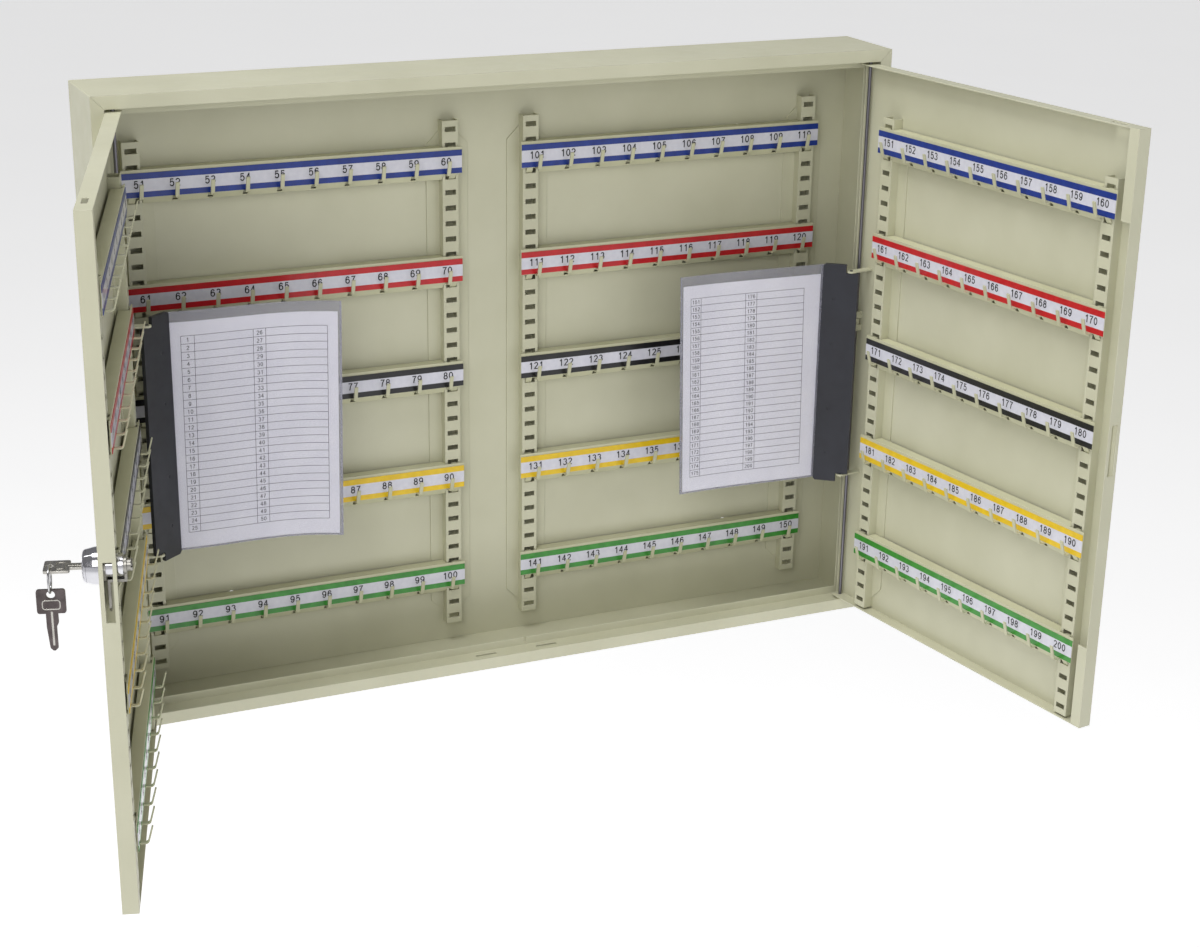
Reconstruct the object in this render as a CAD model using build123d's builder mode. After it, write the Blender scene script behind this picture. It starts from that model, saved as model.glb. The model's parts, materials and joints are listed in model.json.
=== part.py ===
"""Wall key cabinet with two doors, twenty hook bars, two index leaves and a cam lock.

Millimetres. X runs to the right, Y into the wall, Z up. The origin is the middle of the
wall-screw pattern, on the back face. Both doors stand open, as at joint value 0.
"""
from build123d import *
from math import cos, radians, sin
import os

os.makedirs("parts", exist_ok=True)

# Cabinet body
WIDTH, HEIGHT, DEPTH = 730.0, 550.0, 80.0
SHEET = 1.0
FRAME_FACE = 11.0
JAMB_DEPTH = 17.0
STOP_LIP = 7.3
WALL_HOLE_R = 4.0
WALL_HOLE_X, WALL_HOLE_Z = 500.0, 392.0
OPEN_W, OPEN_H = WIDTH - 2 * FRAME_FACE, HEIGHT - 2 * FRAME_FACE

# Doors, in door coordinates: s from the hinge-side edge, t behind the outer face
DOOR_W, DOOR_H, DOOR_T = 352.0, 523.4, 12.4
DOOR_GAP = 1.2
EDGE_R = 3.5
HINGE_S, HINGE_T = 6.4, 5.4
HINGE_FLANGE = 5.0
RETURN_LIP = 11.0
LIP_END = 186.0
OPEN_DEG = {"left": 106.1, "right": 98.1}
SIGN = {"left": -1, "right": 1}

# Hinge rod and its lugs
ROD_R = 1.6
ROD_HOLE_R = 1.65
LUG_R = 3.2
LUG_Z, LUG_H, LUG_GAP = 19.8, 5.8, 0.4

# Slotted uprights
HAT_W, HAT_T, HAT_FLANGE = 15.0, 11.0, 12.0
PITCH, SLOTS = 14.0, 34
SLOT_W, SLOT_H = 10.0, 4.5
END_MARGIN = 7.6
CHAMFER_START = 10.0
UPRIGHT_GAP = 281.7
HAT_LENGTH = PITCH * (SLOTS - 1) + 2 * END_MARGIN

# Hook bars
BAR_W = 302.0
FACE_T = 13.3
LABEL_T, LABEL_H = 0.5, 20.6
LABEL_DROP = 3.9
HOOKS, HOOK_PITCH, HOOK_W, HOOK_T = 10, 30.2, 3.3, 1.2
RIM, BEVEL_H, TONGUE_W = 2.7, 5.0, 6.0
BACK_X, BACK_ARRAY_Z = 179.15, -15.5
DOOR_BAR_S, DOOR_ARRAY_Z = 184.5, -20.2
BACK_SLOTS = [1, 8, 15, 22, 29]
DOOR_SLOTS = {"left": [0, 7, 14, 21, 29], "right": [0, 7, 14, 21, 28]}
SHORT_BAR, SHORT_BAR_END = 3, 328.2

# Index leaves
PIVOT_S, PIVOT_T = 17.0, 22.8
PIVOT_TAB_R, PIVOT_TAB_T, TAB_GAP = 3.7, 1.5, 0.6
SPINE_DEG = 37.0
LEAF_DEG = {"left": -7.0, "right": 1.0}
LEAF_Z = {"left": -12.0, "right": -28.4}
SPINE_OUT, SPINE_IN, SPINE_H, SPINE_T = 7.0, 26.0, 214.0, 3.4
NOTCH_X, NOTCH_H = 4.5, 8.0
DIMPLE_X, DIMPLE_R, DIMPLE_Z = 15.0, 1.4, (-78.0, -34.0, 30.0, 74.0)
POCKET_W, POCKET_H, POCKET_T = 145.0, 211.0, 1.4
MARGIN_W, MARGIN_T = 12.0, 0.8
PAPER_X, PAPER_W, PAPER_Z, PAPER_H, PAPER_T = 2.0, 140.0, -3.8, 200.0, 0.4
PIN_R, PIN_HOLE_R = 1.5, 1.58

# Cam lock in the left door
LOCK_S, LOCK_Z = 337.6, 8.0
BARREL_R, BARREL_END = 8.5, 16.2
PLUG_R, PLUG_BORE_R = 6.0, 6.05
CAM_W, CAM_REACH, CAM_SHEET = 8.4, 34.4, 1.8
CAM_T = 5.0
NUT_R, NUT_T = 11.0, 3.4
KEY_SHEET, KEY_LENGTH, BOW_W, BOW_L = 2.0, 46.0, 20.0, 18.0
RING_R, RING_WIRE_R = 9.2, 0.8


def save(piece, name):
    """Label one node and write its STEP file."""
    piece.part.label = name
    export_step(piece.part, f"parts/{name}.step")


def block(x, y, z, mode=Mode.ADD):
    """Add a box between three pairs of local coordinates."""
    middle = [(a + b) / 2 for a, b in (x, y, z)]
    size = [abs(b - a) for a, b in (x, y, z)]
    with Locations(tuple(middle)):
        Box(*size, mode=mode)


def door_vectors(side):
    """Unit vectors of an open door: along s, and along t."""
    angle, sign = radians(OPEN_DEG[side]), SIGN[side]
    return Vector(-sign * cos(angle), -sin(angle), 0), Vector(-sign * sin(angle), cos(angle), 0)


def door_point(side, s, t):
    """Point at (s, t) of an open door, at mid height."""
    along, inward = door_vectors(side)
    hinge = Vector(SIGN[side] * (OPEN_W / 2 - DOOR_GAP - HINGE_S), -DEPTH + HINGE_T, 0)
    return hinge + along * (s - HINGE_S) + inward * (t - HINGE_T)


def upright_plane(origin, outward):
    """Plane with local Y up and local Z along outward."""
    return Plane(origin=origin, x_dir=Vector(0, 0, 1).cross(outward), z_dir=outward)


def slot_z(array_z, number):
    """Height of the middle of one slot, counted from the top."""
    return array_z + PITCH * ((SLOTS - 1) / 2 - number)


# Planes: local Y is up and local Z points away from the sheet that carries the bars
BACK = upright_plane(Vector(0, 0, 0), Vector(0, -1, 0))
DOOR = {side: upright_plane(door_point(side, 0, 0), door_vectors(side)[1]) for side in SIGN}


# ---------------------------------------------------------------- cabinet body
with BuildPart() as wrapper:
    inner_x, inner_z = WIDTH / 2 - SHEET, HEIGHT / 2 - SHEET
    front, jamb_back = -DEPTH, -DEPTH + JAMB_DEPTH
    block((-WIDTH / 2, WIDTH / 2), (front + SHEET, 0), (-HEIGHT / 2, HEIGHT / 2))
    fillet(wrapper.edges().filter_by(Axis.Y), 1.0)
    block((-inner_x, inner_x), (front + SHEET, 0), (-inner_z, inner_z), Mode.SUBTRACT)
save(wrapper, "cabinet_wrapper")

with BuildPart() as frame:
    block((-WIDTH / 2, WIDTH / 2), (front, front + SHEET), (-HEIGHT / 2, HEIGHT / 2))
    fillet(frame.edges().filter_by(Axis.Y), 1.0)
    jamb_x, jamb_z = OPEN_W / 2, OPEN_H / 2
    outer_x, outer_z = jamb_x + SHEET, jamb_z + SHEET
    block((-outer_x, outer_x), (front + SHEET, jamb_back + SHEET), (-outer_z, outer_z))
    block((-jamb_x, jamb_x), (front, jamb_back), (-jamb_z, jamb_z), Mode.SUBTRACT)
    lip_x, lip_z = jamb_x - STOP_LIP, jamb_z - STOP_LIP
    block((-lip_x, lip_x), (jamb_back, jamb_back + SHEET), (-lip_z, lip_z), Mode.SUBTRACT)
    # Weld seams across the four front corners
    for corner_x in (-1, 1):
        for corner_z in (-1, 1):
            seam = (corner_x * (jamb_x + FRAME_FACE / 2), front, corner_z * (jamb_z + FRAME_FACE / 2))
            with Locations(Location(seam, (0, -45 * corner_x * corner_z, 0))):
                Box(FRAME_FACE * 1.4, 0.5, 0.35, mode=Mode.SUBTRACT)
    # Drain slots and the slit in the sill, and the holes that hold the hinge rods
    for slot_x in (-29.6, 30.8):
        with BuildSketch(Plane.XY.offset(-outer_z)):
            with Locations((slot_x, front + 8.5)):
                SlotOverall(21.0, 3.4)
        extrude(amount=SHEET, mode=Mode.SUBTRACT)
    block((11.5, 13.5), (jamb_back, jamb_back + SHEET), (-261.8, -256.7), Mode.SUBTRACT)
    for side in SIGN:
        rod_x = SIGN[side] * (jamb_x - DOOR_GAP - HINGE_S)
        with Locations((rod_x, front + HINGE_T, 0)):
            Cylinder(ROD_R, 2 * outer_z, mode=Mode.SUBTRACT)
save(frame, "front_frame")

with BuildPart() as back_panel:
    block((-inner_x, inner_x), (-SHEET, 0), (-inner_z, inner_z))
    with Locations(Plane.XZ):
        with GridLocations(WALL_HOLE_X, WALL_HOLE_Z, 2, 2):
            Hole(WALL_HOLE_R)
save(back_panel, "back_panel")


# ---------------------------------------------------------------- uprights
def make_upright(plane, x, array_z, name, relief=None):
    """Slotted hat section, welded to a sheet by its two flanges."""
    with BuildPart(plane) as hat:
        half_w, half_h = HAT_W / 2, HAT_LENGTH / 2
        low, high = array_z - half_h, array_z + half_h
        block((x - half_w, x + half_w), (low, high), (SHEET, HAT_T))
        block((x - half_w + SHEET, x + half_w - SHEET), (low, high), (SHEET, HAT_T - SHEET),
              Mode.SUBTRACT)
        fold, tip = half_h - CHAMFER_START, half_h - CHAMFER_START - HAT_FLANGE
        for way in (-1, 1):
            edge = way * half_w
            outer = way * (half_w + HAT_FLANGE)
            with BuildSketch(plane.offset(SHEET)):
                with Locations((x, array_z)):
                    Polygon((edge, -fold), (outer, -tip), (outer, tip), (edge, fold), align=None)
            extrude(amount=SHEET)
        with BuildSketch(plane.offset(HAT_T)):
            with Locations((x, array_z)):
                with GridLocations(1, PITCH, 1, SLOTS):
                    Rectangle(SLOT_W, SLOT_H)
        extrude(amount=-1.5 * SHEET, mode=Mode.SUBTRACT)
        if relief:
            with Locations((relief[0], relief[1], HAT_T / 2)):
                Cylinder(relief[2], 2 * HAT_T, mode=Mode.SUBTRACT)
    save(hat, name)


BACK_UPRIGHTS = [-BACK_X - UPRIGHT_GAP / 2, -BACK_X + UPRIGHT_GAP / 2,
                 BACK_X - UPRIGHT_GAP / 2, BACK_X + UPRIGHT_GAP / 2]
for number, upright_x in enumerate(BACK_UPRIGHTS, 1):
    make_upright(BACK, upright_x, BACK_ARRAY_Z, f"back_upright_{number}")
for side in SIGN:
    for place, way in (("hinge", -1), ("free", 1)):
        upright_s = DOOR_BAR_S + way * UPRIGHT_GAP / 2
        at_lock = side == "left" and place == "free"
        relief = (-LOCK_S, LOCK_Z, NUT_R + 2.2) if at_lock else None
        make_upright(DOOR[side], SIGN[side] * upright_s, DOOR_ARRAY_Z,
                     f"{side}_door_{place}_upright", relief)


# ---------------------------------------------------------------- hook bars and number strips
with BuildSketch() as hook_section:
    with BuildLine():
        FilletPolyline((FACE_T - 0.5, -0.05), (19.8, -0.05), (23.4, 13.3), radius=2.6)
    trace(line_width=HOOK_T)


def make_bar(plane, x, top, name, cut=None):
    """Pressed steel bar with ten hooks; top is the top of its number strip."""
    high, low = top + RIM, top - LABEL_H - 0.6
    foot = low - BEVEL_H
    back_t, tongue_t = FACE_T - SHEET, HAT_T - 2.2
    inner = UPRIGHT_GAP / 2 - HAT_W / 2 - 0.5
    bevel = [(FACE_T, low), (FACE_T - 3.3, foot)]
    bevel_back = [(FACE_T - 3.84, foot + SHEET), (back_t, low + 0.3)]
    side_view = Plane(origin=plane.from_local_coords((x, 0, 0)), x_dir=plane.z_dir,
                      z_dir=-plane.x_dir)
    with BuildPart() as bar:
        with BuildSketch(side_view):
            Polygon((3.0, high), (FACE_T, high), *bevel, (4.0, foot), (4.0, foot + SHEET),
                    *bevel_back, (back_t, high - SHEET), (3.0, high - SHEET), align=None)
        extrude(amount=inner, both=True)
        with Locations(plane):
            block((x - BAR_W / 2, x + BAR_W / 2), (low, high), (back_t, FACE_T))
        for way in (-1, 1):
            tongue_x = x + way * (UPRIGHT_GAP / 2 + 1.5)
            with Locations(plane):
                block((tongue_x - TONGUE_W / 2, tongue_x + TONGUE_W / 2), (high - SHEET, high),
                      (tongue_t, back_t))
            with BuildSketch(side_view.offset(x - tongue_x)):
                Polygon((FACE_T, low + 1), *bevel, (tongue_t, foot), (tongue_t, foot + SHEET),
                        *bevel_back, (back_t, low + 1), align=None)
            extrude(amount=TONGUE_W / 2, both=True)
        hook_x = [HOOK_PITCH * (number - (HOOKS - 1) / 2) for number in range(HOOKS)]
        for offset in hook_x:
            with Locations(plane):
                block((x + offset - 2.2, x + offset + 2.2), (low - 3.8, low - HOOK_T / 2),
                      (FACE_T - 5, FACE_T + 1), Mode.SUBTRACT)
        with BuildSketch(*[side_view.offset(offset) for offset in hook_x]):
            with Locations((0, low)):
                add(hook_section.sketch)
        extrude(amount=HOOK_W / 2, both=True)
        if cut:
            with Locations(plane):
                block((cut, cut - 60), (foot - 10, high + 10), (0, 40), Mode.SUBTRACT)
    save(bar, name)


def make_strips(plane, x, tops, name, cuts):
    """One number strip on the face of each bar of one group."""
    with BuildPart(plane) as strips:
        for top, cut in zip(tops, cuts):
            ends = (max(x - BAR_W / 2, cut) if cut else x - BAR_W / 2, x + BAR_W / 2)
            block((ends[0] + 0.4, ends[1] - 0.4), (top - LABEL_H, top), (FACE_T, FACE_T + LABEL_T))
    save(strips, name)


for side in SIGN:
    group_x = SIGN[side] * BACK_X
    tops = [slot_z(BACK_ARRAY_Z, slot) - LABEL_DROP for slot in BACK_SLOTS]
    for number, top in enumerate(tops, 1):
        make_bar(BACK, group_x, top, f"back_{side}_hook_bar_{number}")
    make_strips(BACK, group_x, tops, f"back_{side}_number_strips", [None] * 5)
    group_x = SIGN[side] * DOOR_BAR_S
    tops = [slot_z(DOOR_ARRAY_Z, slot) - LABEL_DROP for slot in DOOR_SLOTS[side]]
    cuts = [-SHORT_BAR_END if side == "left" and n == SHORT_BAR else None for n in range(1, 6)]
    for number, (top, cut) in enumerate(zip(tops, cuts), 1):
        make_bar(DOOR[side], group_x, top, f"{side}_door_hook_bar_{number}", cut)
    make_strips(DOOR[side], group_x, tops, f"{side}_door_number_strips", cuts)


# ---------------------------------------------------------------- doors and hinges
for side, sign in SIGN.items():
    plane = DOOR[side]
    half = DOOR_H / 2
    with BuildPart(plane) as pan:
        block((0, sign * DOOR_W), (-half, half), (0, DOOR_T))
        hinge_edge = pan.edges().filter_by(Axis.Z).sort_by_distance(door_point(side, 0, 0))[0]
        fillet(hinge_edge, EDGE_R)
        with BuildPart(plane, mode=Mode.SUBTRACT) as hollow:
            block((sign * SHEET, sign * (DOOR_W - SHEET)), (-half + SHEET, half - SHEET),
                  (SHEET, DOOR_T))
            inner_edge = hollow.edges().filter_by(Axis.Z).sort_by_distance(
                door_point(side, SHEET, SHEET))[0]
            fillet(inner_edge, EDGE_R - SHEET)
        block((0, sign * (SHEET + 0.6)), (-half, half), (HINGE_FLANGE, DOOR_T), Mode.SUBTRACT)
        lip_s = (sign * (DOOR_W - RETURN_LIP), sign * DOOR_W)
        for lip_z in ((LIP_END, half), (-half, -LIP_END)):
            block(lip_s, lip_z, (DOOR_T - SHEET, DOOR_T))
        # Slot that the cam swings through, notch for the hinge tab, slot in the top edge
        block((sign * (DOOR_W - 2), sign * (DOOR_W + 1)), (-29.8, 15.4), (3.1, 9.6), Mode.SUBTRACT)
        block((-sign, sign * 4.6), (LUG_Z - 9.4, LUG_Z + 9.4), (-1, DOOR_T), Mode.SUBTRACT)
        block((sign * 315.5, sign * 332.5), (half - 2 * SHEET, half + 1), (3.4, 7.9), Mode.SUBTRACT)
        with Locations((sign * HINGE_S, 0, HINGE_T)):
            Cylinder(ROD_HOLE_R, DOOR_H, rotation=(90, 0, 0), mode=Mode.SUBTRACT)
        if side == "left":
            with Locations((sign * LOCK_S, LOCK_Z, SHEET / 2)):
                Cylinder(BARREL_R + 0.1, 2 * SHEET, mode=Mode.SUBTRACT)
    save(pan, f"{side}_door_pan")

    with BuildPart(plane) as lugs:
        for way in (-1, 1):
            middle = LUG_Z + way * (LUG_H + LUG_GAP)
            heights = (middle - LUG_H / 2, middle + LUG_H / 2)
            block((sign * (HINGE_S - LUG_R), sign * (HINGE_S + LUG_R)), heights, (SHEET, HINGE_T))
            with Locations((sign * HINGE_S, middle, HINGE_T)):
                Cylinder(LUG_R, LUG_H, rotation=(90, 0, 0))
        block((sign * (HINGE_S - LUG_R), sign * 4.7), (LUG_Z - 9.3, LUG_Z + 9.3), (0, SHEET),
              Mode.SUBTRACT)
        with Locations((sign * HINGE_S, LUG_Z, HINGE_T)):
            Cylinder(ROD_HOLE_R, 4 * LUG_H, rotation=(90, 0, 0), mode=Mode.SUBTRACT)
    save(lugs, f"{side}_door_hinge_lugs")

    rod_x, rod_y = sign * (jamb_x - DOOR_GAP - HINGE_S), -DEPTH + HINGE_T
    with BuildPart() as tab:
        block((rod_x - LUG_R, rod_x + LUG_R), (rod_y, jamb_back),
              (LUG_Z - LUG_H / 2, LUG_Z + LUG_H / 2))
        with Locations((rod_x, rod_y, LUG_Z)):
            Cylinder(LUG_R, LUG_H)
            Hole(ROD_R)
    save(tab, f"{side}_frame_hinge_tab")

    with BuildPart() as rod:
        with Locations((rod_x, rod_y, 0)):
            Cylinder(ROD_R, 2 * outer_z + 2.0)
        chamfer(rod.edges().filter_by(GeomType.CIRCLE), 0.4)
    save(rod, f"{side}_hinge_rod")


# ---------------------------------------------------------------- index leaves
def leaf_plane(origin, side, degrees):
    """Upright plane that looks forwards; a leaf leans into the cabinet by degrees."""
    across = Vector(cos(radians(degrees)), -SIGN[side] * sin(radians(degrees)), 0)
    return upright_plane(origin, across.cross(Vector(0, 0, 1)))


for side, sign in SIGN.items():
    leaf_z = LEAF_Z[side]
    half_t, half_h = SPINE_T / 2, SPINE_H / 2
    tab_z = half_h - NOTCH_H + TAB_GAP + PIVOT_TAB_T / 2
    with BuildPart(DOOR[side]) as pivots:
        for height in (leaf_z - tab_z, leaf_z + tab_z):
            low, high = height - PIVOT_TAB_T / 2, height + PIVOT_TAB_T / 2
            block((sign * (PIVOT_S - PIVOT_TAB_R), sign * (PIVOT_S + PIVOT_TAB_R)), (low, high),
                  (SHEET, PIVOT_T))
            with Locations((sign * PIVOT_S, height, PIVOT_T)):
                Cylinder(PIVOT_TAB_R, PIVOT_TAB_T, rotation=(90, 0, 0))
                Cylinder(PIN_HOLE_R, 4, rotation=(90, 0, 0), mode=Mode.SUBTRACT)
    save(pivots, f"{side}_index_pivot_tabs")

    pivot = door_point(side, PIVOT_S, PIVOT_T) + Vector(0, 0, leaf_z)
    spine_plane = leaf_plane(pivot, side, SPINE_DEG)
    with BuildPart(spine_plane) as spine:
        block((sign * SPINE_OUT, -sign * SPINE_IN), (-half_h, half_h), (-half_t, half_t))
        chamfer(spine.edges().filter_by(Axis((0, 0, 0), spine_plane.z_dir)), 2.0)
        for low, high in ((-half_h - 1, NOTCH_H - half_h), (half_h - NOTCH_H, half_h + 1)):
            block((sign * (SPINE_OUT + 1), -sign * NOTCH_X), (low, high), (-4, 4), Mode.SUBTRACT)
        with Locations((0, half_h - NOTCH_H, 0), (0, NOTCH_H - half_h, 0)):
            Cylinder(PIN_R, 2 * (PIVOT_TAB_T + 2 * TAB_GAP), rotation=(90, 0, 0))
        with Locations(*((-sign * DIMPLE_X, y, half_t) for y in DIMPLE_Z)):
            Cylinder(DIMPLE_R, 0.8, mode=Mode.SUBTRACT)
    save(spine, f"{side}_index_spine")

    # The pocket's margin lies behind the spine, and the pocket bends forwards from it
    bend = spine_plane.from_local_coords((-sign * (SPINE_IN + 0.6), 0, -half_t - 0.4))
    pocket_plane = leaf_plane(bend, side, LEAF_DEG[side])
    with BuildPart(spine_plane) as pocket:
        block((-sign * (SPINE_IN + 0.9 - MARGIN_W), -sign * (SPINE_IN + 0.9)),
              (-POCKET_H / 2, POCKET_H / 2), (-half_t - MARGIN_T - 0.06, -half_t - 0.06))
        with BuildPart(pocket_plane):
            block((0, -sign * POCKET_W), (-POCKET_H / 2, POCKET_H / 2),
                  (-POCKET_T / 2, POCKET_T / 2))
            block((-sign * 1.5, -sign * (POCKET_W - 1.5)), (1.5 - POCKET_H / 2, POCKET_H / 2 + 1),
                  (-0.35, 0.35), Mode.SUBTRACT)
    save(pocket, f"{side}_index_pocket")

    with BuildPart(pocket_plane) as paper:
        block((-sign * PAPER_X, -sign * (PAPER_X + PAPER_W)),
              (PAPER_Z - PAPER_H / 2, PAPER_Z + PAPER_H / 2), (-PAPER_T / 2, PAPER_T / 2))
    save(paper, f"{side}_index_sheet")


# ---------------------------------------------------------------- cam lock and keys
# Lock plane: local X is -s of the left door, local Y up, local Z is t, origin on the lock axis
lock_origin = door_point("left", LOCK_S, 0) + Vector(0, 0, LOCK_Z)
LOCK = upright_plane(lock_origin, door_vectors("left")[1])
profile_plane = Plane(origin=lock_origin, x_dir=LOCK.y_dir, z_dir=LOCK.x_dir)

with BuildPart() as housing:
    with BuildSketch(profile_plane) as section:
        with BuildLine():
            Polyline((0, 0), (13.8, 0), (13.2, -4.0), (11.8, -9.6))
            RadiusArc((11.8, -9.6), (9.2, -11.4), 2.4)
            Polyline((9.2, -11.4), (0, -11.4), (0, 0))
        make_face()
        with Locations((BARREL_R / 2, BARREL_END / 2)):
            Rectangle(BARREL_R, BARREL_END)
    revolve(axis=Axis(lock_origin, LOCK.z_dir))
    with Locations(LOCK):
        Cylinder(PLUG_BORE_R, 60, mode=Mode.SUBTRACT)
save(housing, "lock_housing")

with BuildPart(LOCK) as nut:
    with BuildSketch(LOCK.offset(SHEET)):
        RegularPolygon(NUT_R, 6)
        Circle(BARREL_R, mode=Mode.SUBTRACT)
    extrude(amount=NUT_T)
save(nut, "lock_nut")

plug_back, cam_back = BARREL_END + 0.5, BARREL_END + 0.5 + CAM_SHEET
with BuildPart(LOCK) as plug:
    with Locations((0, 0, (plug_back - 11.0) / 2)):
        Cylinder(PLUG_R, plug_back + 11.0)
    block((-3, 3), (-3, 3), (plug_back, cam_back))
    block((-4.3, 4.3), (-1.15, 1.15), (-11.0, 9.0), Mode.SUBTRACT)
    with Locations((0, 0, cam_back - 3)):
        Cylinder(2.0, 6.0, mode=Mode.SUBTRACT)
save(plug, "lock_plug")

wall_out, wall_in = BARREL_R + 2.7, BARREL_R + 0.7
with BuildPart(LOCK) as cam:
    with Locations((0, 0, plug_back + CAM_SHEET / 2)):
        Cylinder(7.0, CAM_SHEET)
    block((-CAM_W / 2, CAM_W / 2), (-wall_out, 0), (plug_back, cam_back))
    block((-CAM_W / 2, CAM_W / 2), (-wall_out, -wall_in), (CAM_T, cam_back))
    block((-CAM_W / 2, CAM_W / 2), (-CAM_REACH + CAM_W / 2, -wall_in), (CAM_T, CAM_T + CAM_SHEET))
    with Locations((0, -CAM_REACH + CAM_W / 2, CAM_T + CAM_SHEET / 2)):
        Cylinder(CAM_W / 2, CAM_SHEET)
    block((-3, 3), (-3, 3), (plug_back - 1, cam_back + 1), Mode.SUBTRACT)
save(cam, "lock_cam")

with BuildPart(LOCK) as screw:
    with Locations((0, 0, cam_back + 2.0)):
        Cylinder(4.6, 4.0)
    fillet(screw.edges().filter_by(GeomType.CIRCLE).sort_by_distance(lock_origin)[-1], 1.2)
    with Locations((0, 0, cam_back - 3)):
        Cylinder(2.0, 6.0)
    block((-5, 5), (-0.6, 0.6), (cam_back + 2.8, cam_back + 5), Mode.SUBTRACT)
save(screw, "cam_screw")


def make_key(plane, name):
    """Flat key; local Y runs from the end of the bow to the tip, local Z is its thickness."""
    blade_w, tip_w, hole_r, hole_y = 8.4, 5.4, 3.0, 4.0
    with BuildPart(plane) as key:
        with BuildSketch(plane.offset(-KEY_SHEET / 2)):
            with Locations((0, BOW_L / 2)):
                RectangleRounded(BOW_W, BOW_L, 2.0)
            Polygon((-blade_w / 2, BOW_L - 1), (blade_w / 2, BOW_L - 1), (blade_w / 2, BOW_L + 7),
                    (tip_w / 2, BOW_L + 10), (tip_w / 2, KEY_LENGTH - 2), (tip_w / 2 - 2, KEY_LENGTH),
                    (-tip_w / 2 + 2, KEY_LENGTH), (-tip_w / 2, KEY_LENGTH - 2),
                    (-blade_w / 2, BOW_L + 10), align=None)
            with Locations((0, hole_y)):
                Circle(hole_r, mode=Mode.SUBTRACT)
        extrude(amount=KEY_SHEET)
    save(key, name)


bow_t = -11.4 - 8.6 - BOW_L
key_origin = LOCK.from_local_coords((0, 0, bow_t))
KEY = Plane(origin=key_origin, x_dir=LOCK.x_dir, z_dir=LOCK.x_dir.cross(LOCK.z_dir))
make_key(KEY, "key")

# The ring passes up through the key's hole and round the near side of its bow
hole_t = bow_t + 4.0
ring_centre = LOCK.from_local_coords((-6.5, -6.4, hole_t))
with BuildPart(Plane(origin=ring_centre, x_dir=LOCK.x_dir, z_dir=LOCK.z_dir)) as ring:
    Torus(RING_R, RING_WIRE_R)
save(ring, "key_ring")

spare_top = -6.4 - RING_R + RING_WIRE_R + 0.15 + 1.0
spare_origin = LOCK.from_local_coords((-6.5, spare_top, hole_t))
make_key(Plane(origin=spare_origin, x_dir=LOCK.z_dir, z_dir=LOCK.z_dir.cross(Vector(0, 0, -1))),
         "spare_key")
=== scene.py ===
"""Looks for the two-door wall key cabinet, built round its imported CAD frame.

Lengths named in millimetres are turned into metres by MM. Nothing here moves a CAD node.
"""
import json
from math import cos, pi, radians, sin

import bpy
from mathutils import Matrix, Vector


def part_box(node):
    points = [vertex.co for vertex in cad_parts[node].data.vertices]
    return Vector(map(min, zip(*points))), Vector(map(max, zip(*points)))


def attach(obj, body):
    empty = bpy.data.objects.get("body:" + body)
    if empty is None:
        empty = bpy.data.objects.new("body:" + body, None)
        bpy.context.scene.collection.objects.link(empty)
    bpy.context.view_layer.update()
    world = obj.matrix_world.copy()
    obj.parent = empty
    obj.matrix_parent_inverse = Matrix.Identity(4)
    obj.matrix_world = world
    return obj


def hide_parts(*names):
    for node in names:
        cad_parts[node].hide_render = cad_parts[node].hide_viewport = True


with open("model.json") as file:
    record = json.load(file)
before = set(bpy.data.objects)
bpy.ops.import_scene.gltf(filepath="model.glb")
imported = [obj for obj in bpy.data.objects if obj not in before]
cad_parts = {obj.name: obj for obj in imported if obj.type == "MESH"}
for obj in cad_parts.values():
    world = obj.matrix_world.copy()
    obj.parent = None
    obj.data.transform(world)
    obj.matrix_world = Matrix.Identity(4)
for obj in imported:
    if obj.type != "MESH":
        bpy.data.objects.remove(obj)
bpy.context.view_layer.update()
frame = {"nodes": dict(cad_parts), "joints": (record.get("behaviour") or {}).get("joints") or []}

MM = 0.001
NODES = frame["nodes"]
JOINTS = {joint["name"]: joint for joint in frame["joints"]}
SIGN = {"left": -1, "right": 1}

# Places that part.py gives, in mm
HINGE_S, HINGE_T = 6.4, 5.4
BAR_WIDTH, BAR_S, SHORT_END_S = 302.0, 184.5, 328.2
LABEL_HEIGHT, LABEL_BACK, LABEL_FRONT, RIM = 20.6, 13.3, 13.8, 2.7
HOOKS, HOOK_PITCH = 10, 30.2
SPINE_DEG, SPINE_IN, SPINE_T = 37.0, 26.0, 3.4
LEAF_DEG = {"left": -7.0, "right": 1.0}
LEAF_Z = {"left": -12.0, "right": -28.4}
POCKET_W, POCKET_H = 145.0, 211.0
MARGIN_W, MARGIN_T = 12.0, 0.8
PAPER_X, PAPER_W, PAPER_Z, PAPER_H = 2.0, 140.0, -3.8, 200.0


# ---------------------------------------------------------------- materials
def srgb(red, green, blue):
    """Linear colour from 0-255 display values."""
    def linear(value):
        value /= 255
        return value / 12.92 if value <= 0.04045 else ((value + 0.055) / 1.055) ** 2.4
    return linear(red), linear(green), linear(blue), 1.0


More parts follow.
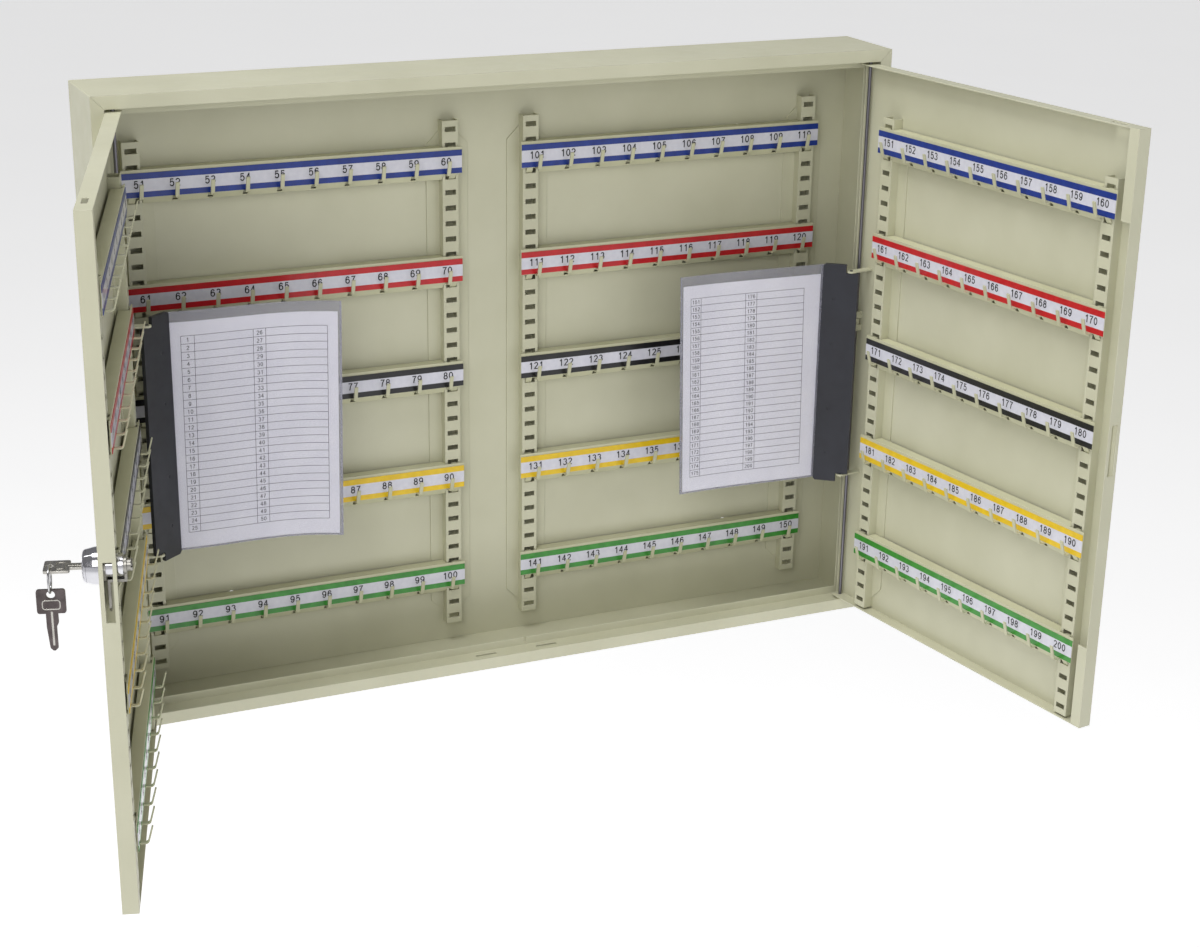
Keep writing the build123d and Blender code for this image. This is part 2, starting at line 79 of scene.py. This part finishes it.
class Finish:
    """A Principled material whose colour, roughness and relief come from noise in object space."""

    def __init__(self, name, metallic=0.0, **inputs):
        self.material = bpy.data.materials.new(name)
        self.material.use_nodes = True
        self.tree = self.material.node_tree
        self.shader = self.tree.nodes["Principled BSDF"]
        self.shader.inputs["Metallic"].default_value = metallic
        for socket, value in inputs.items():
            self.shader.inputs[socket.replace("_", " ")].default_value = value
        self.place = self.node("ShaderNodeTexCoord").outputs["Object"]
        self.normal = None

    def node(self, kind, **settings):
        node = self.tree.nodes.new(kind)
        for key, value in settings.items():
            setattr(node, key, value)
        return node

    def link(self, source, target):
        self.tree.links.new(source, target)

    def noise(self, scale, detail=3.0, stretch=(1, 1, 1)):
        mapping = self.node("ShaderNodeMapping")
        mapping.inputs["Scale"].default_value = stretch
        self.link(self.place, mapping.inputs["Vector"])
        noise = self.node("ShaderNodeTexNoise")
        noise.inputs["Scale"].default_value = scale
        noise.inputs["Detail"].default_value = detail
        self.link(mapping.outputs["Vector"], noise.inputs["Vector"])
        return noise.outputs["Fac"]

    def ranged(self, value, low, high, start=0.3, end=0.7):
        ranger = self.node("ShaderNodeMapRange")
        for socket, number in (("From Min", start), ("From Max", end), ("To Min", low), ("To Max", high)):
            ranger.inputs[socket].default_value = number
        self.link(value, ranger.inputs["Value"])
        return ranger.outputs["Result"]

    def colour(self, first, second, scale, stretch=(1, 1, 1), detail=4.0):
        factor = self.ranged(self.noise(scale, detail, stretch), 0.0, 1.0)
        self.base = self.mix_sockets(factor, first, second)
        self.link(self.base, self.shader.inputs["Base Color"])
        return self

    def mix_sockets(self, factor, first, second):
        mixer = self.node("ShaderNodeMix", data_type="RGBA")
        colours = [socket for socket in mixer.inputs if socket.type == "RGBA"]
        self.link(factor, mixer.inputs[0])
        for socket, colour in zip(colours, (first, second)):
            if isinstance(colour, tuple):
                socket.default_value = colour
            else:
                self.link(colour, socket)
        return [socket for socket in mixer.outputs if socket.type == "RGBA"][0]

    def over(self, factor, colour):
        """Lay another colour over the base where factor is 1."""
        self.base = self.mix_sockets(factor, self.base, colour)
        self.link(self.base, self.shader.inputs["Base Color"])
        return self

    def roughness(self, low, high, scale, stretch=(1, 1, 1)):
        self.link(self.ranged(self.noise(scale, 3.0, stretch), low, high), self.shader.inputs["Roughness"])
        return self

    def soft_edges(self, radius):
        bevel = self.node("ShaderNodeBevel", samples=4)
        bevel.inputs["Radius"].default_value = radius * MM
        self.normal = bevel.outputs["Normal"]
        return self

    def edge_mask(self, start=0.90, end=0.995):
        """1 along the edges that soft_edges rounds, 0 on flats."""
        dot = self.node("ShaderNodeVectorMath", operation="DOT_PRODUCT")
        self.link(self.normal, dot.inputs[0])
        self.link(self.node("ShaderNodeNewGeometry").outputs["True Normal"], dot.inputs[1])
        return self.ranged(dot.outputs["Value"], 1.0, 0.0, start, end)

    def relief(self, scale, height, strength=1.0, stretch=(1, 1, 1), detail=2.0):
        bump = self.node("ShaderNodeBump")
        bump.inputs["Strength"].default_value = strength
        bump.inputs["Distance"].default_value = height * MM
        self.link(self.noise(scale, detail, stretch), bump.inputs["Height"])
        if self.normal is not None:
            self.link(self.normal, bump.inputs["Normal"])
        self.normal = bump.outputs["Normal"]
        return self

    def done(self):
        if self.normal is not None:
            self.link(self.normal, self.shader.inputs["Normal"])
        return self.material


def powder_coat(name, tone, darker, edge_highlight):
    """Fine-textured paint on sheet steel, lighter along the rounded edges as a painted highlight."""
    paint = Finish(name, IOR=1.5).colour(tone, darker, 14.0, detail=5.0)
    paint.soft_edges(0.6)
    # Painted highlight: a lighter colour laid over the paint along the rounded edges.
    paint.over(paint.ranged(paint.edge_mask(), 0.0, 0.45, 0.0, 1.0), edge_highlight)
    paint.roughness(0.36, 0.50, 60.0)
    return paint.relief(1400.0, 0.035, 0.35).relief(90.0, 0.10, 0.10).done()


# The third colour of each paint is its painted edge highlight.
body_paint = powder_coat("paint_body", srgb(201, 200, 176), srgb(193, 192, 167), srgb(220, 219, 200))
fitting_paint = powder_coat("paint_fittings", srgb(200, 199, 174), srgb(190, 189, 163), srgb(218, 217, 197))
bar_paint = powder_coat("paint_bars", srgb(198, 197, 168), srgb(188, 187, 156), srgb(218, 217, 194))
white_card = (Finish("strip_white", Coat_Weight=0.5).colour(srgb(214, 214, 224), srgb(204, 204, 216), 220.0)
              .roughness(0.30, 0.42, 300.0).relief(900.0, 0.01, 0.3).done())
BAND_TONES = {
    "blue": (srgb(22, 54, 142), srgb(16, 44, 124)),
    "red": (srgb(196, 20, 30), srgb(178, 14, 24)),
    "black": (srgb(22, 22, 26), srgb(14, 14, 17)),
    "yellow": (srgb(232, 196, 22), srgb(220, 182, 14)),
    "green": (srgb(56, 146, 48), srgb(44, 128, 40)),
}
bands = {tone: Finish("strip_" + tone, Coat_Weight=0.2).colour(first, second, 160.0)
         .roughness(0.28, 0.40, 300.0).relief(900.0, 0.01, 0.3).done()
         for tone, (first, second) in BAND_TONES.items()}
digit_ink = (Finish("ink_digits").colour(srgb(16, 16, 22), srgb(26, 26, 34), 900.0)
             .roughness(0.4, 0.6, 500.0).done())
table_ink = (Finish("ink_table").colour(srgb(40, 40, 54), srgb(58, 58, 72), 700.0)
             .roughness(0.5, 0.7, 500.0).done())
paper = (Finish("paper_index").colour(srgb(236, 235, 243), srgb(229, 228, 238), 40.0)
         .roughness(0.55, 0.7, 200.0).relief(1800.0, 0.02, 0.25).done())
film_front = (Finish("film_front", Alpha=0.12, IOR=1.46, Coat_Weight=1.0)
              .colour(srgb(200, 200, 216), srgb(186, 186, 204), 16.0).roughness(0.08, 0.20, 40.0)
              .relief(16.0, 0.6, 0.3).done())
film_back = (Finish("film_back", Alpha=0.42, IOR=1.46, Coat_Weight=0.5)
             .colour(srgb(142, 142, 152), srgb(128, 128, 140), 16.0).roughness(0.12, 0.26, 40.0)
             .relief(18.0, 0.5, 0.25).done())
weld = (Finish("film_weld", Alpha=0.45, IOR=1.46).colour(srgb(172, 172, 186), srgb(158, 158, 174), 60.0)
        .roughness(0.2, 0.35, 90.0).relief(500.0, 0.05, 0.5).done())
black_plastic = (Finish("plastic_black").colour(srgb(27, 29, 40), srgb(21, 22, 32), 30.0).soft_edges(0.5)
                 .roughness(0.32, 0.46, 120.0).relief(1100.0, 0.03, 0.3).done())
chrome = (Finish("metal_chrome", metallic=1.0).colour(srgb(208, 208, 212), srgb(196, 196, 202), 60.0)
          .soft_edges(0.35).roughness(0.07, 0.16, 120.0).relief(700.0, 0.01, 0.2).done())
lock_metal = (Finish("metal_lock", metallic=1.0).colour(srgb(176, 174, 170), srgb(150, 148, 144), 90.0)
              .soft_edges(0.3).roughness(0.22, 0.38, 200.0).relief(900.0, 0.02, 0.3).done())
cam_steel = (Finish("metal_cam", metallic=1.0).colour(srgb(168, 166, 160), srgb(142, 140, 134), 60.0)
             .soft_edges(0.3).roughness(0.26, 0.42, 160.0).relief(800.0, 0.02, 0.3).done())
nickel = (Finish("metal_nickel", metallic=1.0).colour(srgb(196, 194, 188), srgb(176, 173, 166), 120.0)
          .soft_edges(0.25).roughness(0.18, 0.34, 260.0, (1, 1, 6))
          .relief(1200.0, 0.015, 0.35, (1, 1, 5)).done())
dark_nickel = (Finish("metal_nickel_dark", metallic=1.0).colour(srgb(104, 96, 96), srgb(78, 72, 72), 120.0)
               .soft_edges(0.25).roughness(0.24, 0.38, 260.0).relief(1200.0, 0.015, 0.35).done())
ring_steel = (Finish("metal_ring", metallic=1.0).colour(srgb(188, 188, 190), srgb(168, 168, 172), 150.0)
              .roughness(0.14, 0.26, 260.0).relief(900.0, 0.01, 0.2).done())
rod_steel = (Finish("metal_rod", metallic=1.0)
             .colour(srgb(132, 130, 138), srgb(108, 106, 116), 40.0, (1, 1, 0.2))
             .roughness(0.28, 0.44, 200.0, (1, 1, 0.1)).relief(1000.0, 0.02, 0.3, (1, 1, 0.1)).done())

SLOT_FINISH = {
    "body_paint": body_paint, "fitting_paint": fitting_paint, "hook_bar_paint": bar_paint,
    "number_strip": white_card, "rod_steel": rod_steel, "black_plastic": black_plastic,
    "clear_plastic": film_back, "index_paper": paper, "lock_chrome": chrome, "lock_metal": lock_metal,
    "cam_steel": cam_steel, "key_nickel": nickel, "ring_steel": ring_steel,
}
SLOT_OF_ENDING = (
    ("hook_bar", "hook_bar_paint"), ("number_strips", "number_strip"), ("hinge_rod", "rod_steel"),
    ("index_spine", "black_plastic"), ("index_pocket", "clear_plastic"), ("index_sheet", "index_paper"),
    ("lock_housing", "lock_chrome"), ("lock_plug", "lock_metal"), ("lock_nut", "cam_steel"),
    ("lock_cam", "cam_steel"), ("cam_screw", "cam_steel"), ("key_ring", "ring_steel"),
    ("key", "key_nickel"),
    ("upright", "fitting_paint"), ("pivot_tabs", "fitting_paint"), ("hinge_lugs", "fitting_paint"),
    ("hinge_tab", "fitting_paint"), ("", "body_paint"),
)
for name, node in NODES.items():
    slot_name = next(slot for part, slot in SLOT_OF_ENDING if part in name)
    for holder in node.material_slots:
        holder.material = dark_nickel if name == "spare_key" else SLOT_FINISH[slot_name]


# ---------------------------------------------------------------- mesh building
def plane_matrix(origin, right, outward):
    """Plane whose local X is right, Y is up and Z is outward."""
    up = Vector((0, 0, 1))
    return Matrix.Translation(origin) @ Matrix((right, up, outward)).transposed().to_4x4()


def door_axes(side):
    """Directions of s and t on an open door, and the place of s = 0, t = 0."""
    joint, sign = JOINTS[side + "_door_hinge"], SIGN[side]
    angle = radians(joint["range_deg"][1])
    along = Vector((-sign * cos(angle), -sin(angle), 0))
    inward = Vector((-sign * sin(angle), cos(angle), 0))
    return along, inward, Vector(joint["pos_m"]) - along * HINGE_S * MM - inward * HINGE_T * MM


def on_plane(matrix):
    """Function from local millimetres to a point of the frame."""
    return lambda x, y, off: matrix @ Vector((x * MM, y * MM, off * MM))


class Builder:
    """Collects closed solids and turns them into one object."""

    def __init__(self):
        self.points, self.faces, self.slots = [], [], []

    def add(self, points, faces, slot):
        start = len(self.points)
        self.points += points
        self.faces += [[start + i for i in face] for face in faces]
        self.slots += [slot] * len(faces)

    def slab(self, place, xs, ys, low, high, slot=0):
        """Plate that follows place, from offset low to offset high."""
        wide, tall = len(xs), len(ys)
        points = [place(x, y, off) for off in (low, high) for y in ys for x in xs]
        top = wide * tall
        faces = []
        for j in range(tall - 1):
            for i in range(wide - 1):
                a = j * wide + i
                cell = [a, a + 1, a + wide + 1, a + wide]
                faces.append([top + corner for corner in cell])
                faces.append(cell[::-1])
        rim = ([i for i in range(wide)] + [j * wide + wide - 1 for j in range(1, tall)]
               + [(tall - 1) * wide + i for i in range(wide - 2, -1, -1)]
               + [j * wide for j in range(tall - 2, 0, -1)])
        for a, b in zip(rim, rim[1:] + rim[:1]):
            faces.append([a, b, top + b, top + a])
        self.add(points, faces, slot)

    def text(self, place, string, x, y, height, low, high, slot=0):
        """Digits centred on x, y."""
        step = GLYPH_STEP * height
        left = x - step * (len(string) - 1) / 2
        for index, letter in enumerate(string):
            centre = left + index * step
            for layer, stroke in enumerate(GLYPHS[letter]):
                self.stroke(place, stroke, centre, y, height, low, high + LAYER_STEP * layer, slot)

    def stroke(self, place, stroke, x, y, scale, low, high, slot=0):
        """One flat line made solid."""
        outline, faces, border = stroke
        count = len(outline)
        points = [place(x + px * scale, y + py * scale, off)
                  for off in (low, high) for px, py in outline]
        solid = [[count + i for i in face] for face in faces] + [face[::-1] for face in faces]
        solid += [[a, b, count + b, count + a] for a, b in border]
        self.add(points, solid, slot)

    def build(self, name, materials, body):
        mesh = bpy.data.meshes.new(name)
        mesh.from_pydata(self.points, [], self.faces)
        for material in materials:
            mesh.materials.append(material)
        mesh.polygons.foreach_set("material_index", self.slots)
        mesh.update()
        piece = bpy.data.objects.new(name, mesh)
        bpy.context.scene.collection.objects.link(piece)
        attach(piece, body)
        return piece


def arc(x, y, wide, tall, start, end, steps=12):
    """Points on an ellipse between two angles in degrees."""
    turns = [radians(start + (end - start) * i / steps) for i in range(steps + 1)]
    return [(x + wide * cos(turn), y + tall * sin(turn)) for turn in turns]


def ribbon(path, weight, closed=False):
    """Outline, faces and border of a flat line of even weight along a path."""
    count = len(path)
    left, right = [], []
    for i, (x, y) in enumerate(path):
        before = path[i - 1] if i or closed else None
        after = path[(i + 1) % count] if i < count - 1 or closed else None
        ways = [(Vector(b) - Vector(a)).normalized() for a, b in ((before, (x, y)), ((x, y), after))
                if a is not None and b is not None]
        way = sum(ways, Vector((0, 0))).normalized()
        reach = weight / 2 / max(0.6, way.dot(ways[0]))
        left.append((x - way.y * reach, y + way.x * reach))
        right.append((x + way.y * reach, y - way.x * reach))
    last = count if closed else count - 1
    faces, border = [], []
    for i in range(last):
        j = (i + 1) % count
        faces.append([count + i, count + j, j, i])
        border += [(count + i, count + j), (j, i)]
    if not closed:
        border += [(0, count), (2 * count - 1, count - 1)]
    return left + right, faces, border


# Strokes of the digits, for a height of 1 about their middle: (path, closed)
WEIGHT = 0.15
SIX = [(arc(0, -0.165, 0.235, 0.27, 0, 345, 23), True), (arc(0.01, 0, 0.245, 0.435, 36, 200), False)]
STROKES = {
    "0": [(arc(0, 0, 0.235, 0.435, 0, 345, 23), True)],
    "1": [([(0.07, 0.5), (0.07, -0.5)], False), ([(-0.17, 0.24), (-0.04, 0.32), (0.05, 0.46)], False)],
    "2": [(arc(0, 0.205, 0.235, 0.23, 165, -28) + [(-0.05, -0.2), (-0.24, -0.435), (0.27, -0.435)],
           False)],
    "3": [(arc(-0.01, 0.225, 0.21, 0.21, 160, -78), False),
          (arc(-0.01, -0.2, 0.245, 0.235, 80, -165), False)],
    "4": [([(0.11, 0.5), (0.11, -0.5)], False), ([(0.09, 0.43), (-0.25, -0.18), (0.29, -0.18)], False)],
    "5": [([(0.22, 0.435), (-0.15, 0.435), (-0.21, -0.01)] + arc(0, -0.14, 0.24, 0.295, 140, -160),
           False)],
    "6": SIX,
    "7": [([(-0.25, 0.435), (0.24, 0.435), (0.01, 0.05), (-0.08, -0.5)], False)],
    "8": [(arc(0, 0.225, 0.195, 0.21, 0, 345, 23), True), (arc(0, -0.2, 0.235, 0.235, 0, 345, 23), True)],
    "9": [([(-x, -y) for x, y in path], closed) for path, closed in SIX],
}
GLYPHS = {digit: [ribbon(path, WEIGHT, closed) for path, closed in strokes]
          for digit, strokes in STROKES.items()}
GLYPH_STEP = 0.78
LAYER_STEP = 0.008


def spread(start, end, steps):
    return [start + (end - start) * i / steps for i in range(steps + 1)]


# ---------------------------------------------------------------- number strips
TONES = ("blue", "red", "black", "yellow", "green")
TOP_BAND, LOW_BAND, DIGIT_HEIGHT, DIGIT_LIFT = 5.2, 4.8, 6.6, 0.8
STRIP_INSET, BAND_PROUD = 0.4, 0.02
INK_LOW, INK_HIGH = 0.005, 0.05
NUMBER_HALF = 8
back_plane = plane_matrix(Vector((0, 0, 0)), Vector((1, 0, 0)), Vector((0, -1, 0)))
door_planes = {}
for side, sign in SIGN.items():
    along, inward, corner = door_axes(side)
    door_planes[side] = plane_matrix(corner, along * sign, inward)


def number_strips(panel, matrix, centre, first, body):
    """Five printed strips, with numbers counting from first; body is what they ride on."""
    place = on_plane(matrix)
    strips = Builder()
    slots = {"white": 0, **{tone: 1 + i for i, tone in enumerate(TONES)}, "ink": 1 + len(TONES)}
    for row, tone in enumerate(TONES):
        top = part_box(f"{panel}_hook_bar_{row + 1}")[1].z / MM - RIM
        low = top - LABEL_HEIGHT
        left, right = centre - BAR_WIDTH / 2 + STRIP_INSET, centre + BAR_WIDTH / 2 - STRIP_INSET
        if panel == "left_door" and tone == "black":
            left = -SHORT_END_S + STRIP_INSET
        ends = [left, right]
        strips.slab(place, ends, [low + LOW_BAND, top - TOP_BAND], LABEL_BACK, LABEL_FRONT,
                    slots["white"])
        for band in ([top - TOP_BAND, top], [low, low + LOW_BAND]):
            strips.slab(place, ends, band, LABEL_BACK, LABEL_FRONT + BAND_PROUD, slots[tone])
        middle = (low + LOW_BAND + top - TOP_BAND) / 2
        for hook in range(HOOKS):
            x = centre + HOOK_PITCH * (hook - (HOOKS - 1) / 2)
            number = str(first + row * HOOKS + hook)
            if x - NUMBER_HALF > left or panel != "left_door":
                strips.text(place, number, x, middle + DIGIT_LIFT, DIGIT_HEIGHT,
                            LABEL_FRONT + INK_LOW, LABEL_FRONT + INK_HIGH, slots["ink"])
    materials = [white_card] + [bands[tone] for tone in TONES] + [digit_ink]
    piece = strips.build(panel + "_printed_strips", materials, body)
    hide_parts(panel + "_number_strips")


for panel, first in (("back_left", 51), ("back_right", 101)):
    bar_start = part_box(panel + "_hook_bar_1")[0].x / MM
    number_strips(panel, back_plane, bar_start + BAR_WIDTH / 2, first, "cabinet")
number_strips("left_door", door_planes["left"], -BAR_S, 1, "left_door")
number_strips("right_door", door_planes["right"], BAR_S, 151, "right_door")


# ---------------------------------------------------------------- index leaves
BOW = {"left": 9.0, "right": 2.0}
BOW_POWER = 1.7
LEAN = {"left": 3.4, "right": -5.0}
TABLE_X = {"left": (8.5, 19.2, 69.2, 79.9, 131.5), "right": (8.0, 18.5, 64.5, 76.0, 124.5)}
TABLE_TOP, ROW_PITCH, ROWS = 84.0, 6.96, 25
LINE, INDEX_DIGIT = 0.42, 3.6
FILM_IN, FILM_OUT, WELD_HALF = 0.36, 0.48, 0.34
SIDE_WELD, FOOT_WELD = 1.6, 1.2
FOLD_GAP, FOLD_BACK = 0.6, 0.4
CARD_BACK, CARD_FRONT = -0.12, 0.10
LINE_BOTTOM, LINE_TOP, DIGIT_TOP = 0.11, 0.14, 0.15
FIRST_INDEX = {"left": 1, "right": 151}


def leaf_surface(side):
    """Function from x to the viewer's right of the spine, height and offset to the viewer to a point."""
    sign = SIGN[side]

    def axes(degrees):
        across = Vector((cos(radians(degrees)), -sign * sin(radians(degrees)), 0))
        return across, across.cross(Vector((0, 0, 1)))

    spine_across, spine_out = axes(SPINE_DEG)
    across, out = axes(LEAF_DEG[side])
    pivot = Vector(JOINTS[side + "_leaf_hinge"]["pos_m"]) + Vector((0, 0, LEAF_Z[side] * MM))
    root = (pivot - spine_across * sign * (SPINE_IN + FOLD_GAP) * MM
            - spine_out * (SPINE_T / 2 + FOLD_BACK) * MM)

    def pocket_point(x, y, off):
        share = max(0.0, min(1.0, abs(x) / POCKET_W)) ** BOW_POWER
        shift = LEAN[side] * y / PAPER_H * min(1.0, abs(x) / 20)
        return (root + across * (x + shift) * MM + out * (off - BOW[side] * sin(pi * share)) * MM
                + Vector((0, 0, y * MM)))

    def margin_point(x, y, off):
        return pivot + spine_across * x * MM + spine_out * off * MM + Vector((0, 0, y * MM))
    return pocket_point, margin_point


def span(side, start, end, steps):
    """Places from start to end millimetres from the spine, always from the viewer's left to right."""
    first, last = sorted((-SIGN[side] * start, -SIGN[side] * end))
    return spread(first, last, steps)


for side in SIGN:
    place, margin_place = leaf_surface(side)
    body = side + "_leaf"
    half_h = POCKET_H / 2
    ys = spread(-half_h, half_h, 8)

    pocket = Builder()
    pocket.slab(place, span(side, 0, POCKET_W, 48), ys, FILM_IN, FILM_OUT)
    pocket.slab(place, span(side, 0, POCKET_W, 48), ys, -FILM_OUT, -FILM_IN, 2)
    for start, end in ((POCKET_W - SIDE_WELD, POCKET_W), (0, SIDE_WELD)):
        pocket.slab(place, span(side, start, end, 1), ys, -WELD_HALF, WELD_HALF, 1)
    pocket.slab(place, span(side, SIDE_WELD + 0.1, POCKET_W - SIDE_WELD - 0.1, 44),
                [-half_h, FOOT_WELD - half_h], -WELD_HALF, WELD_HALF, 1)
    pocket.slab(margin_place, span(side, SPINE_IN + FOLD_GAP - MARGIN_W, SPINE_IN + FOLD_GAP, 1),
                [-half_h, half_h], -SPINE_T / 2 - MARGIN_T, -SPINE_T / 2 - 0.06, 1)
    piece = pocket.build(side + "_leaf_pocket", [film_front, weld, film_back], body)
    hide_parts(side + "_index_pocket")

    card = Builder()
    card.slab(place, span(side, PAPER_X, PAPER_X + PAPER_W, 48),
              spread(PAPER_Z - PAPER_H / 2, PAPER_Z + PAPER_H / 2, 8), CARD_BACK, CARD_FRONT)
    edge = span(side, PAPER_X, PAPER_X + PAPER_W, 1)[0]
    columns = [edge + x for x in TABLE_X[side]]
    for row in range(ROWS + 1):
        y = TABLE_TOP - row * ROW_PITCH
        card.slab(place, spread(columns[0], columns[-1], 32), [y - LINE / 2, y + LINE / 2],
                  LINE_BOTTOM, LINE_TOP, 1)
    for x in columns:
        card.slab(place, [x - LINE / 2, x + LINE / 2],
                  spread(TABLE_TOP - ROWS * ROW_PITCH, TABLE_TOP, 8), LINE_BOTTOM, LINE_TOP, 1)
    for block, middle in enumerate(((columns[0] + columns[1]) / 2, (columns[2] + columns[3]) / 2)):
        for row in range(ROWS):
            card.text(place, str(FIRST_INDEX[side] + block * ROWS + row), middle,
                      TABLE_TOP - (row + 0.5) * ROW_PITCH, INDEX_DIGIT, LINE_BOTTOM, DIGIT_TOP, 2)
    piece = card.build(side + "_leaf_card", [paper, table_ink, digit_ink], body)
    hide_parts(side + "_index_sheet")


# ---------------------------------------------------------------- lock and key details
KEY_HALF, BOW_LENGTH, KEY_LENGTH = 1.0, 18.0, 46.0
RING_STEPS = 64
KEY_BOW_T, RING_X, SPARE_TOP, HOLE_Y = -38.0, -6.5, -13.65, 4.0
FRAME_X, FRAME_Y, FRAME_CORNER, FRAME_LINE, FRAME_PLACE = 4.1, 1.4, 1.9, 0.75, 11.4
FRAME_PROUD, RIB_PROUD, RIB_HALF, SUNK = 0.28, 0.16, 0.7, 0.05
lock = JOINTS["lock_turn"]
lock_out = Vector(lock["axis"])
lock_axes = plane_matrix(Vector(lock["pos_m"]), Vector((0, 0, 1)).cross(-lock_out), -lock_out)
lock_x, lock_z = lock_axes.col[0].to_3d(), lock_axes.col[2].to_3d()


def key_relief(name, origin, right, way, body):
    """Raised frame on both sides of the bow, and a rib down the blade."""
    outward = right.cross(way)
    frame_path = []
    for x, y, start in ((FRAME_X, FRAME_Y, 0), (-FRAME_X, FRAME_Y, 90),
                        (-FRAME_X, -FRAME_Y, 180), (FRAME_X, -FRAME_Y, 270)):
        frame_path += arc(x, y, FRAME_CORNER, FRAME_CORNER, start, start + 90, 5)
    relief = Builder()
    for face in (1, -1):
        turned = Matrix((right * face, way, outward * face)).transposed().to_4x4()
        place = on_plane(Matrix.Translation(origin) @ turned)
        relief.stroke(place, ribbon(frame_path, FRAME_LINE, True), 0, FRAME_PLACE, 1.0,
                      KEY_HALF - SUNK, KEY_HALF + FRAME_PROUD)
        relief.slab(place, [-RIB_HALF, RIB_HALF], spread(BOW_LENGTH - 1.5, KEY_LENGTH - 4, 6),
                    KEY_HALF - SUNK, KEY_HALF + RIB_PROUD)
    relief.build(name, [nickel], body)


key_relief("key_relief", lock_axes @ Vector((0, 0, KEY_BOW_T * MM)), lock_x, lock_z, "key")
key_relief("spare_key_relief",
           lock_axes @ Vector((RING_X * MM, SPARE_TOP * MM, (KEY_BOW_T + HOLE_Y) * MM)), lock_z,
           Vector((0, 0, -1)), "spare_key")

# Dark rings of painted shade, laid where the lock housing has its grooves.
groove_shade = (Finish("lock_groove_shade", metallic=1.0).colour(srgb(52, 50, 54), srgb(36, 34, 38), 300.0)
              .roughness(0.3, 0.5, 300.0).done())


def lock_band(builder, radius, low_t, high_t, proud):
    """Ring round the lock housing from low_t to high_t."""
    around = [radians(360 * i / RING_STEPS) for i in range(RING_STEPS)]
    points = [lock_axes @ Vector((r * cos(turn) * MM, r * sin(turn) * MM, t * MM))
              for r, t in ((radius, low_t), (radius + proud, low_t),
                           (radius + proud, high_t), (radius, high_t))
              for turn in around]
    faces = []
    for ring in range(4):
        for i in range(RING_STEPS):
            j = (i + 1) % RING_STEPS
            a, b = ring * RING_STEPS, (ring + 1) % 4 * RING_STEPS
            faces.append([a + i, b + i, b + j, a + j])
    builder.add(points, faces, 0)


details = Builder()
# Painted shade: two dark rings round the housing at its grooves.
lock_band(details, 11.9, -8.9, -8.5, 0.12)
lock_band(details, 12.6, -6.1, -5.9, 0.06)
details.build("lock_housing_groove_shade", [groove_shade], "left_door")
bezel = Builder()
lock_band(bezel, 6.3, -11.75, -11.3, 0.7)
lock_band(bezel, 8.3, -11.6, -11.3, 0.5)
bezel.build("lock_housing_bezel", [chrome], "left_door")


# ---------------------------------------------------------------- floor, light and camera
floor_material = (Finish("floor_plain", Emission_Color=(1, 1, 1, 1), Emission_Strength=0.52)
                  .colour(srgb(250, 250, 250), srgb(247, 247, 247), 2.0).roughness(0.8, 0.9, 3.0).done())
bpy.ops.mesh.primitive_plane_add(size=30.0, location=(0, 0, -0.9))
floor = bpy.context.object
floor.name = "floor"
floor.data.materials.append(floor_material)

world = bpy.data.worlds.new("studio")
bpy.context.scene.world = world
world.use_nodes = True
sky = world.node_tree
backdrop = sky.nodes["Background"]
backdrop.inputs["Strength"].default_value = 0.23
direction = sky.nodes.new("ShaderNodeTexCoord")
split = sky.nodes.new("ShaderNodeSeparateXYZ")
bands_of_light = sky.nodes.new("ShaderNodeValToRGB")
sky.links.new(direction.outputs["Generated"], split.inputs["Vector"])
sky.links.new(split.outputs["Z"], bands_of_light.inputs["Fac"])
sky.links.new(bands_of_light.outputs["Color"], backdrop.inputs["Color"])
ramp = bands_of_light.color_ramp
ramp.elements[0].position, ramp.elements[0].color = 0.0, (3.2, 3.2, 3.2, 1)
ramp.elements[1].position, ramp.elements[1].color = 1.0, (1.0, 1.0, 1.0, 1)
for height, level in ((0.10, 3.0), (0.22, 0.6), (0.5, 1.0)):
    element = ramp.elements.new(height)
    element.color = (level, level, level * 1.03, 1)


def softbox(name, place, target, size, watts, tint=(1, 1, 1)):
    lamp = bpy.data.lights.new(name, "AREA")
    lamp.size = size
    lamp.energy = watts
    lamp.color = tint
    holder = bpy.data.objects.new(name, lamp)
    bpy.context.scene.collection.objects.link(holder)
    holder.location = place
    holder.rotation_euler = (Vector(target) - Vector(place)).to_track_quat("-Z", "Y").to_euler()


softbox("softbox_key", (-1.6, -2.4, 1.5), (0, 0, 0), 1.7, 28, (1.0, 0.99, 0.97))
softbox("softbox_fill", (1.2, -2.6, 0.8), (0, 0, 0), 1.6, 4)
softbox("softbox_top", (-0.75, -0.35, 2.5), (0.1, -0.1, 0), 1.4, 50)

scene = bpy.context.scene
scene.view_settings.view_transform = "Standard"
camera_data = bpy.data.cameras.new("camera")
camera_data.sensor_width = 36.0
camera_data.lens = 67.338
camera_data.shift_x = -0.0021
camera_data.shift_y = 0.0482
camera_data.clip_start = 0.05
camera = bpy.data.objects.new("camera", camera_data)
scene.collection.objects.link(camera)
RIGHT = Vector((0.91106748, -0.41195823, 0.01569883))
FORWARD = Vector((0.38950844, 0.84769464, -0.36013465))
UP = Vector((0.13505262, 0.3342218, 0.93276823))
camera.matrix_world = (Matrix.Translation((-0.7291014, -1.8477879, 0.5966173))
                       @ Matrix((RIGHT, UP, -FORWARD)).transposed().to_4x4())
scene.camera = camera
